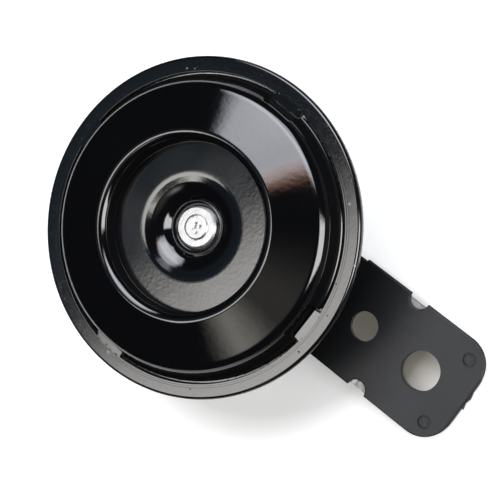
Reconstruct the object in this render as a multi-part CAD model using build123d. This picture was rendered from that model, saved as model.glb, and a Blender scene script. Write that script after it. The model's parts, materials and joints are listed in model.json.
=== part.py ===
from build123d import *

import math
import os

# A small electric disc horn on a two-leaf steel bracket. Millimetres, +Z along the
# horn's axis towards its front. The origin is the centre of the bracket's fixing eye,
# on the face that lies against the vehicle. +X runs from the horn to the eye.

# ---- bracket -------------------------------------------------------------------
leaf_thickness = 1.2
eye_reach = 49.7            # horn axis to fixing eye
eye_radius = 4.25
small_eye_reach = 34.3      # horn axis to the second, smaller eye
small_eye_radius = 3.25
leaf_width = 24.0
leaf_end_margin = 11.2      # fixing eye to the bracket's end
leaf_corner_radius = 6.5
leaf_edge_radius = 0.35     # rolled edge left by the press
notch_reach = 40.7
notch_radius = 2.2
neck_reach = 26.8           # the front leaf's edge steps in here, on one side
neck_step = 0.45
rear_leaf_inset = 0.72
rear_leaf_shift = -0.28     # the rear leaf sits a little to one side
stud_hole_clearance = 0.15
pip_margin = 4.4            # pips to the bracket's end
pip_offset = 8.1
pip_radius = 1.3
pip_depth = 0.3
button_radius = 0.75        # low button left by the punch in each pip's socket
button_height = 0.2
pip_clearance = 0.03
break_off_width = 3.9       # rough stub left where the strip was sheared off
break_off_height = 0.5
break_off_offset = 0.9
break_off_root = 1.0

# ---- crimped rim ---------------------------------------------------------------
rim_radius = 35.0
ring_sheet = 0.8
ring_bend = 0.3
lip_width = 3.55            # rim's edge to the opening
ring_tail_width = 2.4       # rim's edge to the end of the rolled tail
rim_slack = 0.05
tab_count = 4
tab_turn = -3.0             # first tab, measured from the bracket's centreline
tab_width = 7.0
tab_root = 0.2              # opening to the tab's fold
tab_length = 1.0            # fold to the tab's straight end
tab_dip_angle = 3.0

# ---- sealed stack under the rim ------------------------------------------------
front_gasket_thickness = 0.45
diaphragm_thickness = 0.25
rear_gasket_thickness = 0.35
gasket_setback = 0.15
diaphragm_dish = 1.5        # the centre lies this much below the clamped edge
diaphragm_flat_radius = 11.5
diaphragm_bend = 1.0

# ---- housing -------------------------------------------------------------------
housing_sheet = 0.8
housing_bend = 0.6
pot_foot_bend = 1.2
pot_depth = 24.8            # rim top to the back of the housing
flange_width = 4.6          # rim's edge to the bowl
bowl_taper = 1.2
shelf_width = 7.2
shelf_drop = 13.0           # rim top to the back of the shelf
pot_taper = 0.8

# ---- tone disc, from the centre out --------------------------------------------
disc_sheet = 0.8
seat_drop = 0.95            # seat below the rim's top
seat_radius = 5.0
well_radius = 5.3
well_rise = 0.15            # heights above the rim's top from here on
throat_radius = 6.4
throat_rise = 1.13
slope_radius = 8.3
slope_rise = 2.1
funnel_radius = 10.9
funnel_rise = 2.6
floor_radius = 17.3
floor_rise = 2.2
shoulder_radius = 17.35
shoulder_rise = 5.95
ridge_radius = 18.3
ridge_rise = 7.25
crown_rise = 4.3
skirt_lean = 1.1            # foot of the skirt to its crown
brim_width = 1.0
brim_gap = 0.3              # brim to the rim's opening
brim_drop = 0.1
seat_bend = 0.35
well_bend = 0.6
bowl_bend = 3.0
funnel_bend = 5.0
floor_bend = 0.12
shoulder_bend = 0.1
ridge_bend = 1.0
skirt_bend = 1.0
crown_bend = 2.2
notch_slack = 0.45          # brim notch beside each tab
notch_rise = 1.5
notch_setback = 1.75        # foot of the skirt to the notch's inner end

# ---- moving iron ---------------------------------------------------------------
stem_radius = 2.2
stem_fit = 0.03
washer_radius = 4.36
washer_thickness = 1.0
washer_chamfer = 0.4
peen_radius = 2.5
peen_height = 0.18
peen_chamfer = 0.09
spacer_radius = 5.0
armature_radius = 7.0
armature_flange_radius = 10.0
armature_flange_thickness = 1.2
air_gap = 0.75

# ---- magnet --------------------------------------------------------------------
core_radius = 7.0
core_top_drop = 10.3        # rim top to the core's face
stud_radius = 4.0
stud_tail = 1.5             # stud beyond the nut
bobbin_bore_fit = 0.15
bobbin_wall = 0.8
bobbin_flange = 1.0
bobbin_clearance = 0.3      # bobbin to the insulators beside it
winding_margin = 0.8        # bobbin's edge to the winding
bobbin_end_play = 0.1
yoke_thickness = 1.2
yoke_hole_radius = 9.0
yoke_edge_gap = 0.1

# ---- contact breaker -----------------------------------------------------------
breaker_angle = 120.0       # from the bracket's centreline
breaker_width = 9.0
breaker_length = 5.2
breaker_setback = 2.8       # pot's mouth to the breaker's rivets
lower_insulator = 1.0
middle_insulator = 2.6
upper_insulator = 0.6
spring_thickness = 0.3
spring_width = 4.6
spring_bend = 0.4
spring_tip_gap = 1.6        # armature to the spring's tip
spring_point_rise = 0.8
arm_thickness = 0.8
arm_width = 6.0
arm_margin = 0.3            # points to the arm's end
point_setback = 2.4         # insulators to the points' centre
point_radius = 1.4
striker_gap = 0.05
breaker_rivet_radius = 1.0
breaker_rivet_head_radius = 1.6
breaker_rivet_head = 0.6
breaker_rivet_offset = 2.8
rivet_fit = 0.05

# ---- adjusting screw -----------------------------------------------------------
adjuster_radius = 2.0
adjuster_fit = 0.05
adjuster_tail = 0.8
adjuster_tip_gap = 0.1
slot_width = 0.8
slot_depth = 1.0
bush_radius = 2.9
bush_spigot_radius = 2.45
bush_height = 3.0
yoke_slot_clearance = 0.2

# ---- terminals -----------------------------------------------------------------
terminal_angle = 180.0
terminal_spacing = 10.4
terminal_setback = 5.1      # pot's foot to the terminals' rivets
block_gap = 0.6             # bracket's inner end to the block
block_behind = 3.5          # rivets to the block's two faces
block_ahead = 4.9
block_width = 18.0
block_height = 6.0
block_corner = 1.2
block_edge = 0.4
blade_width = 6.3
blade_thickness = 0.8
blade_behind = 2.7          # rivet to the blade's two ends
blade_ahead = 13.3
blade_cover = 3.0           # plastic between housing and blade
blade_fit = 0.05
blade_chamfer = 1.1
blade_hole_radius = 0.9
blade_hole_margin = 3.4
terminal_rivet_radius = 1.2
terminal_rivet_head_radius = 1.8
terminal_rivet_head = 0.7
insulator_radius = 2.2
insulator_thickness = 0.8
insulator_spigot_radius = 1.9
floor_hole_fit = 0.1
access_radius = 2.4

# ---- leads ---------------------------------------------------------------------
lead_radius = 0.5
lead_bend = 2.0
lead_hole_radius = 0.9
lead_joint_gap = 0.1        # lead's end to the round winding
coil_lead_rise = 3.0        # rivet head to the lead's turn inwards
return_lead_side = 3.6
return_lead_setback = 1.9   # breaker's rivets to the lead
return_lead_level = 8.6

# ---- fastening under the bracket -----------------------------------------------
flat_washer_radius = 8.0
flat_washer_thickness = 1.2
spring_washer_radius = 6.4
spring_washer_thickness = 1.6
spring_washer_split = 1.0
nut_across_flats = 13.0
nut_height = 5.5
nut_chamfer = 0.5
thread_clearance = 0.05

# ---- radii and reaches that follow ---------------------------------------------
lip_inner_radius = rim_radius - lip_width
ring_tail_radius = rim_radius - ring_tail_width
tab_fold = lip_inner_radius - tab_root
tab_reach = tab_fold - tab_length
gasket_inner_radius = lip_inner_radius + gasket_setback
stack_radius = rim_radius - ring_sheet - ring_bend - rim_slack
brim_radius = lip_inner_radius - brim_gap
skirt_radius = brim_radius - brim_width
crown_radius = skirt_radius - skirt_lean
bowl_radius = rim_radius - flange_width
bowl_foot_radius = bowl_radius - bowl_taper
pot_mouth_radius = bowl_foot_radius - shelf_width
pot_foot_radius = pot_mouth_radius - pot_taper
adjuster_reach = (pot_mouth_radius + bowl_foot_radius) / 2
breaker_rivet_reach = pot_mouth_radius - breaker_setback
breaker_inner = breaker_rivet_reach - breaker_length / 2
breaker_outer = breaker_rivet_reach + breaker_length / 2
point_reach = breaker_inner - point_setback
arm_inner = point_reach - point_radius - arm_margin
spring_tip_reach = armature_radius + spring_tip_gap
return_lead_reach = breaker_rivet_reach - return_lead_setback
terminal_rivet_reach = pot_foot_radius - terminal_setback
block_inner = terminal_rivet_reach - block_behind
block_outer = terminal_rivet_reach + block_ahead
blade_inner = terminal_rivet_reach - blade_behind
blade_reach = terminal_rivet_reach + blade_ahead
leaf_tail = block_inner - block_gap
leaf_end = eye_reach + leaf_end_margin
bobbin_radius = math.hypot(terminal_rivet_reach, terminal_spacing / 2) - insulator_radius - bobbin_clearance
winding_radius = bobbin_radius - winding_margin
stud_hole_radius = stud_radius + stud_hole_clearance
stem_hole_radius = stem_radius + stem_fit

# ---- heights that follow -------------------------------------------------------
bracket_thickness = 2 * leaf_thickness
housing_back = bracket_thickness
rim_top = housing_back + pot_depth
ring_underside = rim_top - ring_sheet
diaphragm_top = ring_underside - front_gasket_thickness
diaphragm_bottom = diaphragm_top - diaphragm_thickness
flange_top = diaphragm_bottom - rear_gasket_thickness
flange_bottom = flange_top - housing_sheet
ring_bottom = flange_bottom - ring_sheet
seat_top = rim_top - seat_drop
hub_top = diaphragm_top - diaphragm_dish
hub_bottom = hub_top - diaphragm_thickness
housing_floor = housing_back + housing_sheet
shelf_back = rim_top - shelf_drop
shelf_top = shelf_back + housing_sheet
yoke_top = shelf_top + yoke_thickness
core_top = rim_top - core_top_drop
armature_bottom = core_top + air_gap
spring_root = yoke_top + lower_insulator
arm_bottom = spring_root + spring_thickness + middle_insulator
arm_top = arm_bottom + arm_thickness
spring_top = spring_root + spring_thickness + spring_point_rise
points_meet = (spring_top + arm_bottom) / 2
nut_top = -flat_washer_thickness - spring_washer_thickness
stud_end = nut_top - nut_height - stud_tail
blade_top = housing_back - blade_cover


# ---- helpers -------------------------------------------------------------------
def unit(start, end):
    """Direction from one profile point to the next."""
    length = math.dist(start, end)
    return (end[0] - start[0]) / length, (end[1] - start[1]) / length


def beside(points, gap):
    """The same run of corners, moved sideways by gap, to the left of travel."""
    directions = [unit(a, b) for a, b in zip(points, points[1:])]
    normals = [(-dy, dx) for dx, dy in directions]
    moved = []
    for index, (x, y) in enumerate(points):
        before = normals[max(index - 1, 0)]
        after = normals[min(index, len(normals) - 1)]
        share = gap / (1 + before[0] * after[0] + before[1] * after[1])
        moved.append((x + share * (before[0] + after[0]), y + share * (before[1] + after[1])))
    return moved


def sheet_section(points, bends, thickness):
    """Section of a bent sheet: one face through the points, the other to its left.

    Each bend is the radius on the inside of that corner.
    """
    near = []
    far = []
    for corner, bend in enumerate(bends, start=1):
        before = unit(points[corner - 1], points[corner])
        after = unit(points[corner], points[corner + 1])
        turns_left = before[0] * after[1] - before[1] * after[0] > 0
        near.append(bend + thickness if turns_left else bend)
        far.append(bend if turns_left else bend + thickness)
    other = beside(points, thickness)
    first = FilletPolyline(*points, radius=near)
    second = FilletPolyline(*other, radius=far)
    ends = Line(points[0], other[0]) + Line(points[-1], other[-1])
    return make_face(first.edges() + second.edges() + ends.edges())


def turned(section):
    """A section drawn as (radius, height), turned about the horn's axis."""
    return revolve(Plane.XZ * section, axis=Axis.Z)


def drum(radius, bottom, top, hole=0.0):
    """Round piece between two heights, with an optional hole."""
    body = Pos(0, 0, bottom) * extrude(Circle(radius), amount=top - bottom)
    if hole > 0:
        body -= Pos(0, 0, bottom) * extrude(Circle(hole), amount=top - bottom)
    return body


def slab(x_low, x_high, width, bottom, top):
    """Rectangular block, centred across the X axis."""
    plan = Pos((x_low + x_high) / 2, 0, bottom) * Rectangle(x_high - x_low, width)
    return extrude(plan, amount=top - bottom)


def strip(points, bends, thickness, width):
    """A bent strip, drawn as (reach, height) and centred across the X axis."""
    return extrude(Plane.XZ * sheet_section(points, bends, thickness), amount=width / 2, both=True)


def at_angle(angle, shape):
    """Turn a piece drawn along +X to its own place round the axis."""
    return Rot(0, 0, angle) * shape


def tabs_around():
    """Angles of the four tabs."""
    return [tab_turn + index * 360 / tab_count for index in range(tab_count)]


# ---- crimped rim ---------------------------------------------------------------
def crimp_ring():
    """Rolled ring that clamps the stack, with four tabs bent in over the tone disc."""
    section = sheet_section(
        [
            (ring_tail_radius, ring_bottom),
            (rim_radius, ring_bottom),
            (rim_radius, rim_top),
            (lip_inner_radius, rim_top),
        ],
        [ring_bend, ring_bend],
        ring_sheet,
    )
    ring = turned(section)
    root = lip_inner_radius + gasket_setback / 2
    dip = (tab_fold - tab_reach) * math.tan(math.radians(tab_dip_angle))
    edge = [(root, rim_top), (tab_fold, rim_top), (tab_reach, rim_top - dip)]
    tab = strip(edge, [ring_bend], ring_sheet, tab_width)
    for angle in tabs_around():
        ring += at_angle(angle, tab)
    return ring


def front_gasket():
    return drum(stack_radius, diaphragm_top, ring_underside, gasket_inner_radius)


def rear_gasket():
    return drum(stack_radius, flange_top, diaphragm_bottom, gasket_inner_radius)


def diaphragm():
    """Thin spring-steel sheet, flat where it is clamped and at its hub."""
    section = sheet_section(
        [
            (stem_hole_radius, hub_bottom),
            (diaphragm_flat_radius, hub_bottom),
            (gasket_inner_radius, diaphragm_bottom),
            (stack_radius, diaphragm_bottom),
        ],
        [diaphragm_bend, diaphragm_bend],
        diaphragm_thickness,
    )
    return turned(section)


# ---- tone disc -----------------------------------------------------------------
def tone_disc():
    """Pressed front disc: seat, bowl, floor, shouldered ridge, cone, skirt and brim."""
    surface = [
        (brim_radius, rim_top - brim_drop),
        (skirt_radius, rim_top - brim_drop),
        (crown_radius, rim_top + crown_rise),
        (ridge_radius, rim_top + ridge_rise),
        (shoulder_radius, rim_top + shoulder_rise),
        (floor_radius, rim_top + floor_rise),
        (funnel_radius, rim_top + funnel_rise),
        (slope_radius, rim_top + slope_rise),
        (throat_radius, rim_top + throat_rise),
        (well_radius, rim_top + well_rise),
        (seat_radius, seat_top),
        (stem_hole_radius, seat_top),
    ]
    bends = [
        skirt_bend, crown_bend, ridge_bend, shoulder_bend, floor_bend,
        funnel_bend, funnel_bend, bowl_bend, well_bend, seat_bend,
    ]
    disc = turned(sheet_section(surface, bends, disc_sheet))
    half = tab_width / 2 + notch_slack
    bottom = rim_top - brim_drop - 2 * disc_sheet
    arch = (
        Line((-half, bottom), (half, bottom))
        + Line((half, bottom), (half, rim_top))
        + ThreePointArc((half, rim_top), (0, rim_top + notch_rise), (-half, rim_top))
        + Line((-half, rim_top), (-half, bottom))
    )
    notch_end = skirt_radius - notch_setback
    cutter = extrude(Plane.YZ.offset(notch_end) * make_face(arch), amount=rim_radius - notch_end)
    for angle in tabs_around():
        disc -= at_angle(angle, cutter)
    return disc


# ---- moving iron ---------------------------------------------------------------
def armature():
    """Iron plunger with its stem; the stem's end is peened over the washer."""
    flange_bottom_height = hub_bottom - armature_flange_thickness
    washer_top = seat_top + washer_thickness
    body = drum(armature_radius, armature_bottom, flange_bottom_height)
    body += drum(armature_flange_radius, flange_bottom_height, hub_bottom)
    body += drum(stem_radius, hub_bottom, washer_top)
    head = drum(peen_radius, washer_top, washer_top + peen_height)
    rim_edge = head.edges().sort_by(Axis.Z)[-1]
    return body + chamfer(rim_edge, peen_chamfer)


def disc_spacer():
    return drum(spacer_radius, hub_top, seat_top - disc_sheet, stem_hole_radius)


def stem_washer():
    washer = drum(washer_radius, seat_top, seat_top + washer_thickness, stem_hole_radius)
    front_edges = washer.edges().filter_by(GeomType.CIRCLE).group_by(Axis.Z)[-1]
    return chamfer(front_edges.sort_by(SortBy.RADIUS)[-1], washer_chamfer)


# ---- housing -------------------------------------------------------------------
def rear_housing():
    """Two-step drawn steel pot with the flange that the ring is rolled over."""
    surface = [
        (stud_hole_radius, housing_back),
        (pot_foot_radius, housing_back),
        (pot_mouth_radius, shelf_back),
        (bowl_foot_radius, shelf_back),
        (bowl_radius, flange_bottom),
        (stack_radius, flange_bottom),
    ]
    bends = [pot_foot_bend, housing_bend, housing_bend, housing_bend]
    pot = turned(sheet_section(surface, bends, housing_sheet))
    hole = drum(bush_spigot_radius + rivet_fit, shelf_back, shelf_top)
    pot -= at_angle(breaker_angle, Pos(adjuster_reach, 0, 0) * hole)
    for side in (-1, 1):
        hole = drum(insulator_spigot_radius + floor_hole_fit, housing_back, housing_floor)
        place = Pos(terminal_rivet_reach, side * terminal_spacing / 2, 0)
        pot -= at_angle(terminal_angle, place * hole)
    return pot


# ---- magnet --------------------------------------------------------------------
def pole_core():
    """Turned iron core whose tail is the threaded mounting stud."""
    stud = drum(stud_radius, stud_end, housing_floor)
    stud = chamfer(stud.edges().sort_by(Axis.Z)[0], nut_chamfer)
    return stud + drum(core_radius, housing_floor, core_top)


def coil_bobbin():
    bottom = housing_floor
    top = shelf_top - bobbin_end_play
    bore = core_radius + bobbin_bore_fit
    tube = drum(bore + bobbin_wall, bottom, top, bore)
    tube += drum(bobbin_radius, bottom, bottom + bobbin_flange, bore)
    return tube + drum(bobbin_radius, top - bobbin_flange, top, bore)


def coil_winding():
    bottom = housing_floor + bobbin_flange
    top = shelf_top - bobbin_end_play - bobbin_flange
    return drum(winding_radius, bottom, top, core_radius + bobbin_bore_fit + bobbin_wall)


def yoke_plate():
    """Flat iron ring on the housing's shelf, notched for the adjusting screw."""
    edge = bowl_foot_radius - housing_sheet - housing_bend - yoke_edge_gap
    plate = drum(edge, shelf_top, yoke_top, yoke_hole_radius)
    half = adjuster_radius + yoke_slot_clearance
    notch = slab(adjuster_reach, rim_radius, 2 * half, shelf_top, yoke_top)
    notch += Pos(adjuster_reach, 0, 0) * drum(half, shelf_top, yoke_top)
    plate -= at_angle(breaker_angle, notch)
    for side in (-1, 1):
        hole = drum(breaker_rivet_radius + rivet_fit, shelf_top, yoke_top)
        plate -= at_angle(breaker_angle, Pos(breaker_rivet_reach, side * breaker_rivet_offset, 0) * hole)
    for run in (breaker_lead_run(), return_lead_run()):
        x, y, _ = run[1]
        plate -= at_angle(breaker_angle, Pos(x, y, 0) * drum(lead_hole_radius, shelf_top, yoke_top))
    return plate


# ---- contact breaker -----------------------------------------------------------
def rivet_holes(bottom, top):
    """The two rivet holes through a piece of the breaker's stack."""
    holes = []
    for side in (-1, 1):
        hole = drum(breaker_rivet_radius + rivet_fit, bottom, top)
        holes.append(Pos(breaker_rivet_reach, side * breaker_rivet_offset, 0) * hole)
    return holes


def breaker_insulator(bottom, thickness):
    plate = slab(breaker_inner, breaker_outer, breaker_width, bottom, bottom + thickness)
    return at_angle(breaker_angle, plate - rivet_holes(bottom, bottom + thickness))


def contact_spring():
    """Leaf that carries the moving point; its upturned tip meets the armature's flange."""
    tip_height = hub_bottom - armature_flange_thickness - striker_gap
    point_level = spring_root + spring_point_rise
    ramp = (breaker_inner + point_reach + point_radius) / 2
    leaf = strip(
        [
            (spring_tip_reach, tip_height),
            (spring_tip_reach, point_level),
            (point_reach + point_radius, point_level),
            (ramp, spring_root),
            (breaker_outer, spring_root),
        ],
        [spring_bend, spring_bend, spring_bend],
        spring_thickness,
        spring_width,
    )
    root = slab(breaker_inner, breaker_outer, breaker_width, spring_root, spring_root + spring_thickness)
    leaf = leaf + root
    return at_angle(breaker_angle, leaf - rivet_holes(spring_root, spring_root + spring_thickness))


def fixed_contact_arm():
    """Stiff arm over the spring; the adjusting screw bears under its tail."""
    tail = adjuster_reach + adjuster_radius
    arm = slab(arm_inner, tail, arm_width, arm_bottom, arm_top)
    arm += slab(breaker_inner, breaker_outer, breaker_width, arm_bottom, arm_top)
    return at_angle(breaker_angle, arm - rivet_holes(arm_bottom, arm_top))


def contact_point(bottom, top):
    return at_angle(breaker_angle, Pos(point_reach, 0, 0) * drum(point_radius, bottom, top))


def breaker_rivets():
    """Two rivets that hold the stack down on the yoke plate."""
    top = arm_top + upper_insulator
    rivets = []
    for side in (-1, 1):
        rivet = drum(breaker_rivet_radius, shelf_top, top)
        rivet += drum(breaker_rivet_head_radius, top, top + breaker_rivet_head)
        rivet += drum(breaker_rivet_head_radius, shelf_top - breaker_rivet_head, shelf_top)
        place = Pos(breaker_rivet_reach, side * breaker_rivet_offset, 0)
        rivets.append(at_angle(breaker_angle, place * rivet))
    return rivets


# ---- adjusting screw -----------------------------------------------------------
def adjuster_bush():
    """Threaded bush staked into the shelf."""
    bore = adjuster_radius + adjuster_fit
    bush = drum(bush_radius, shelf_back - bush_height, shelf_back, bore)
    bush += drum(bush_spigot_radius, shelf_back, shelf_top, bore)
    return at_angle(breaker_angle, Pos(adjuster_reach, 0, 0) * bush)


def adjusting_screw():
    """Slotted grub screw that sets the breaker."""
    bottom = shelf_back - bush_height - adjuster_tail
    screw = drum(adjuster_radius, bottom, arm_bottom - adjuster_tip_gap)
    slot = slab(-adjuster_radius, adjuster_radius, slot_width, bottom, bottom + slot_depth)
    return at_angle(breaker_angle, Pos(adjuster_reach, 0, 0) * (screw - slot))


# ---- terminals -----------------------------------------------------------------
def terminal_places():
    """Places of the two terminal rivets, drawn along +X."""
    return [Pos(terminal_rivet_reach, side * terminal_spacing / 2, 0) for side in (-1, 1)]


def terminal_block():
    """Moulded block under the housing, with a slot for each blade."""
    bottom = housing_back - block_height
    block = slab(block_inner, block_outer, block_width, bottom, housing_back)
    upright = block.edges().filter_by(Axis.Z)
    block = fillet(upright, block_corner)
    block = chamfer(block.faces().sort_by(Axis.Z)[0].edges(), block_edge)
    slot_width_across = blade_width + 2 * blade_fit
    for place in terminal_places():
        low = blade_top - blade_thickness - blade_fit
        slot = slab(blade_inner - blade_fit, block_outer, slot_width_across, low, blade_top + blade_fit)
        block -= Pos(0, place.position.Y, 0) * slot
        block -= place * drum(terminal_rivet_radius + rivet_fit, blade_top, housing_back)
        block -= place * drum(access_radius, bottom, low)
        block += place * drum(insulator_spigot_radius, housing_back, housing_floor)
        block -= place * drum(terminal_rivet_radius + rivet_fit, blade_top, housing_floor)
    return at_angle(terminal_angle, block)


def blade_terminal(side):
    """Flat 6.3 mm blade with a chamfered tip and a latch hole."""
    blade = slab(blade_inner, blade_reach, blade_width, blade_top - blade_thickness, blade_top)
    tip = blade.edges().filter_by(Axis.Z).group_by(Axis.X)[-1]
    blade = chamfer(tip, blade_chamfer)
    low = blade_top - blade_thickness
    blade -= Pos(blade_reach - blade_hole_margin, 0, 0) * drum(blade_hole_radius, low, blade_top)
    blade -= Pos(terminal_rivet_reach, 0, 0) * drum(terminal_rivet_radius + rivet_fit, low, blade_top)
    return at_angle(terminal_angle, Pos(0, side * terminal_spacing / 2, 0) * blade)


def terminal_insulators():
    """Insulating washers under the rivet heads inside the pot."""
    washers = []
    for place in terminal_places():
        top = housing_floor + insulator_thickness
        washer = drum(insulator_radius, housing_floor, top, terminal_rivet_radius + rivet_fit)
        washers.append(at_angle(terminal_angle, place * washer))
    return washers


def terminal_rivets():
    """Rivets that carry the current from the blades into the pot."""
    low = blade_top - blade_thickness
    high = housing_floor + insulator_thickness
    rivets = []
    for place in terminal_places():
        rivet = drum(terminal_rivet_radius, low, high)
        rivet += drum(terminal_rivet_head_radius, low - terminal_rivet_head, low)
        rivet += drum(terminal_rivet_head_radius, high, high + terminal_rivet_head)
        rivets.append(at_angle(terminal_angle, place * rivet))
    return rivets


# ---- fastening under the bracket -----------------------------------------------
def flat_washer():
    return drum(flat_washer_radius, -flat_washer_thickness, 0, stud_hole_radius)


def spring_washer():
    ring = drum(spring_washer_radius, nut_top, -flat_washer_thickness, stud_hole_radius)
    return ring - slab(0, spring_washer_radius, spring_washer_split, nut_top, -flat_washer_thickness)


def mounting_nut():
    """Hexagon nut with its corners chamfered off both ends."""
    bottom = nut_top - nut_height
    hexagon = RegularPolygon(nut_across_flats / 2, 6, major_radius=False)
    prism = extrude(Pos(0, 0, bottom) * hexagon, amount=nut_height)
    corner_radius = nut_across_flats / math.sqrt(3)
    cone = drum(corner_radius, bottom, nut_top)
    cone = chamfer(cone.edges().filter_by(GeomType.CIRCLE), nut_chamfer, 2 * nut_chamfer)
    return (prism & cone) - drum(stud_radius + thread_clearance, bottom, nut_top)


# ---- bracket -------------------------------------------------------------------
def leaf_plan(width, shift):
    """Outline of a leaf, from its end under the pot to its far end."""
    middle = (leaf_end - leaf_tail) / 2
    return Pos(middle, shift) * RectangleRounded(leaf_end + leaf_tail, width, leaf_corner_radius)


def leaf_holes(bottom, top):
    """Stud hole and both eyes, through one leaf."""
    return [
        drum(stud_hole_radius, bottom, top),
        Pos(eye_reach, 0, 0) * drum(eye_radius, bottom, top),
        Pos(small_eye_reach, 0, 0) * drum(small_eye_radius, bottom, top),
    ]


def pip_places():
    return [Pos(leaf_end - pip_margin, side * pip_offset, 0) for side in (-1, 1)]


def bracket_front_leaf():
    """Painted leaf against the housing: notched sides, half-sheared pips, a sheared stub."""
    plan = leaf_plan(leaf_width, 0)
    for side in (-1, 1):
        plan -= Pos(notch_reach, side * leaf_width / 2) * Circle(notch_radius)
    neck = Rectangle(neck_reach + leaf_tail, 2 * neck_step)
    plan -= Pos((neck_reach - leaf_tail) / 2, leaf_width / 2) * neck
    leaf = Pos(0, 0, leaf_thickness) * extrude(plan, amount=leaf_thickness)
    leaf = fillet(leaf.faces().sort_by(Axis.Z)[-1].edges(), leaf_edge_radius)
    half = break_off_width / 2
    saw = Polyline(
        (leaf_end - break_off_root, break_off_offset - half),
        (leaf_end + break_off_height, break_off_offset - half),
        (leaf_end + break_off_height / 3, break_off_offset - half / 4),
        (leaf_end + break_off_height, break_off_offset + half / 3),
        (leaf_end + break_off_height / 2, break_off_offset + half),
        (leaf_end - break_off_root, break_off_offset + half),
        close=True,
    )
    leaf += Pos(0, 0, leaf_thickness) * extrude(make_face(saw), amount=leaf_thickness / 2)
    for place in pip_places():
        socket = bracket_thickness - pip_depth
        leaf -= place * drum(pip_radius, socket, bracket_thickness, button_radius)
        leaf -= place * drum(button_radius, socket + button_height, bracket_thickness)
        leaf += place * drum(pip_radius, leaf_thickness - pip_depth, leaf_thickness)
    return leaf - leaf_holes(leaf_thickness, bracket_thickness)


def bracket_rear_leaf():
    """Plated leaf on the vehicle side, a little narrower than the painted one."""
    plan = leaf_plan(leaf_width - 2 * rear_leaf_inset, rear_leaf_shift)
    leaf = extrude(plan, amount=leaf_thickness)
    for place in pip_places():
        leaf -= place * drum(pip_radius + pip_clearance, 0, leaf_thickness)
    return leaf - leaf_holes(0, leaf_thickness)


# ---- leads ---------------------------------------------------------------------
def lead(run):
    """Stiff insulated wire through the points of a run, with round corners."""
    path = FilletPolyline(*run, radius=lead_bend)
    start = Plane(origin=path @ 0, z_dir=path % 0)
    return sweep(start * Circle(lead_radius), path=path)


def inward(x, y, z):
    """Where a lead that comes straight in from (x, y) meets the winding."""
    share = (winding_radius + lead_joint_gap) / math.hypot(x, y)
    return x * share, y * share, z


def rivet_head_top():
    return housing_floor + insulator_thickness + terminal_rivet_head


def coil_lead_run():
    """Terminal rivet to winding, in the terminals' frame."""
    x = terminal_rivet_reach
    y = terminal_spacing / 2
    level = rivet_head_top() + coil_lead_rise
    return [(x, y, rivet_head_top()), (x, y, level), inward(x, y, level)]


def breaker_lead_run():
    """Other terminal rivet to the spring's root, in the breaker's frame."""
    turn = math.radians(terminal_angle - breaker_angle)
    across = -terminal_spacing / 2
    x = terminal_rivet_reach * math.cos(turn) - across * math.sin(turn)
    y = terminal_rivet_reach * math.sin(turn) + across * math.cos(turn)
    level = spring_root + spring_thickness / 2
    return [
        (x, y, rivet_head_top()),
        (x, y, level),
        (breaker_rivet_reach, y, level),
        (breaker_rivet_reach, breaker_width / 2, level),
    ]


def return_lead_run():
    """Fixed arm to winding, in the breaker's frame."""
    x = return_lead_reach
    y = -breaker_width / 2 - return_lead_side
    level = arm_bottom + arm_thickness / 2
    return [
        (x, -breaker_width / 2, level),
        (x, y, level),
        (x, y, return_lead_level),
        inward(x, y, return_lead_level),
    ]


# ---- write the pieces ----------------------------------------------------------
pieces = {
    "crimp_ring": crimp_ring(),
    "front_gasket": front_gasket(),
    "rear_gasket": rear_gasket(),
    "diaphragm": diaphragm(),
    "tone_disc": tone_disc(),
    "armature": armature(),
    "disc_spacer": disc_spacer(),
    "stem_washer": stem_washer(),
    "rear_housing": rear_housing(),
    "pole_core": pole_core(),
    "coil_bobbin": coil_bobbin(),
    "coil_winding": coil_winding(),
    "yoke_plate": yoke_plate(),
    "lower_breaker_insulator": breaker_insulator(yoke_top, lower_insulator),
    "middle_breaker_insulator": breaker_insulator(spring_root + spring_thickness, middle_insulator),
    "upper_breaker_insulator": breaker_insulator(arm_top, upper_insulator),
    "contact_spring": contact_spring(),
    "fixed_contact_arm": fixed_contact_arm(),
    "moving_contact_point": contact_point(spring_top, points_meet),
    "fixed_contact_point": contact_point(points_meet, arm_bottom),
    "breaker_rivets": breaker_rivets(),
    "adjuster_bush": adjuster_bush(),
    "adjusting_screw": adjusting_screw(),
    "terminal_block": terminal_block(),
    "blade_terminal_left": blade_terminal(-1),
    "blade_terminal_right": blade_terminal(1),
    "terminal_insulators": terminal_insulators(),
    "terminal_rivets": terminal_rivets(),
    "coil_lead": at_angle(terminal_angle, lead(coil_lead_run())),
    "breaker_lead": at_angle(breaker_angle, lead(breaker_lead_run())),
    "return_lead": at_angle(breaker_angle, lead(return_lead_run())),
    "flat_washer": flat_washer(),
    "spring_washer": spring_washer(),
    "mounting_nut": mounting_nut(),
    "bracket_front_leaf": bracket_front_leaf(),
    "bracket_rear_leaf": bracket_rear_leaf(),
}

os.makedirs("parts", exist_ok=True)
for name, piece in pieces.items():
    solids = piece if isinstance(piece, list) else [piece]
    placed = [Pos(-eye_reach, 0, 0) * solid for solid in solids]
    shape = placed[0] if len(placed) == 1 else Compound(children=placed)
    export_step(shape, f"parts/{name}.step")
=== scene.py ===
import json
import math

import bmesh
import bpy
import numpy as np
from mathutils import Matrix, Vector


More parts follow.
